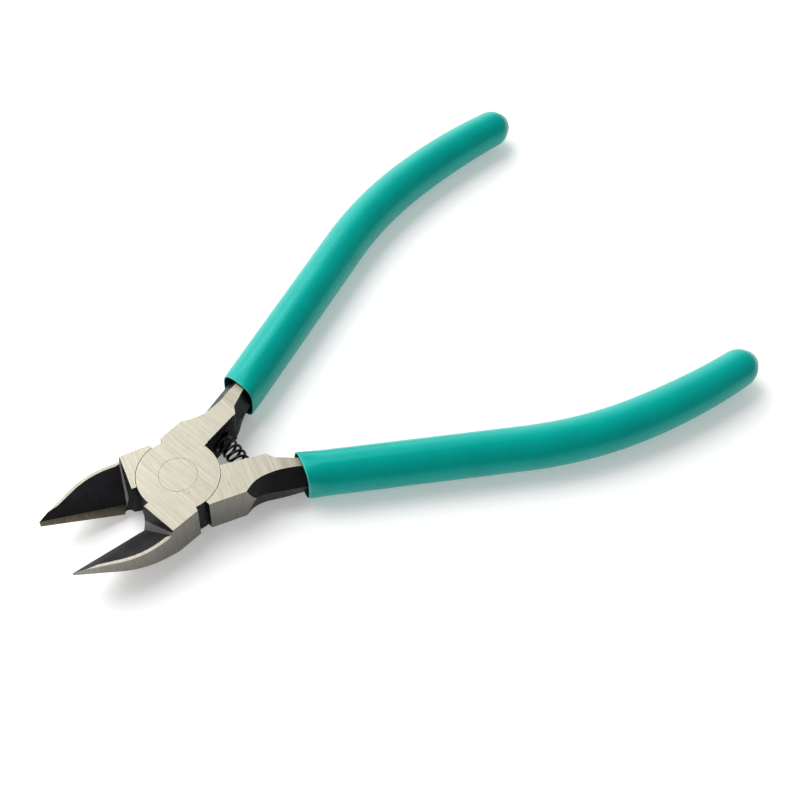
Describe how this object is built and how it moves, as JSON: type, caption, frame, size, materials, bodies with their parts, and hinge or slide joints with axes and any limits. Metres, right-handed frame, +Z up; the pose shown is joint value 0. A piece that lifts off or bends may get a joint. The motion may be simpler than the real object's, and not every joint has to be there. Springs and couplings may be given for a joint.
{
  "type": "flush cut pliers",
  "caption": "Lap-joint diagonal flush cutters with a coil return spring and dipped vinyl grips, for trimming wire and plastic.",
  "frame": {"origin": "on the pivot axis, at the flat underside of the head", "axes": "+Z up along the pivot axis, +X along the bisector towards the handles, jaws towards -X"},
  "size_m": [0.1283, 0.0836, 0.0084],
  "materials": {
    "ground_steel": "satin ground faces with fine grind lines, black oxide on the hollows and the neck forgings",
    "spring_wire": "black oxide spring wire",
    "grip_vinyl": "teal dipped vinyl, soft satin gloss"
  },
  "bodies": {
    "lower": {"lower_half": "ground_steel", "lower_grip": "grip_vinyl", "return_spring": "spring_wire"},
    "upper": {"upper_half": "ground_steel", "upper_grip": "grip_vinyl", "pivot_rivet": "ground_steel"}
  },
  "joints": [
    {"name": "pivot", "type": "hinge", "parent": "lower", "child": "upper", "pos_m": [0, 0, 0], "axis": [0, 0, 1], "range_deg": [-25.4, 14.5], "stiffness_Nm_per_rad": 0.4, "deforming": ["return_spring"]}
  ]
}
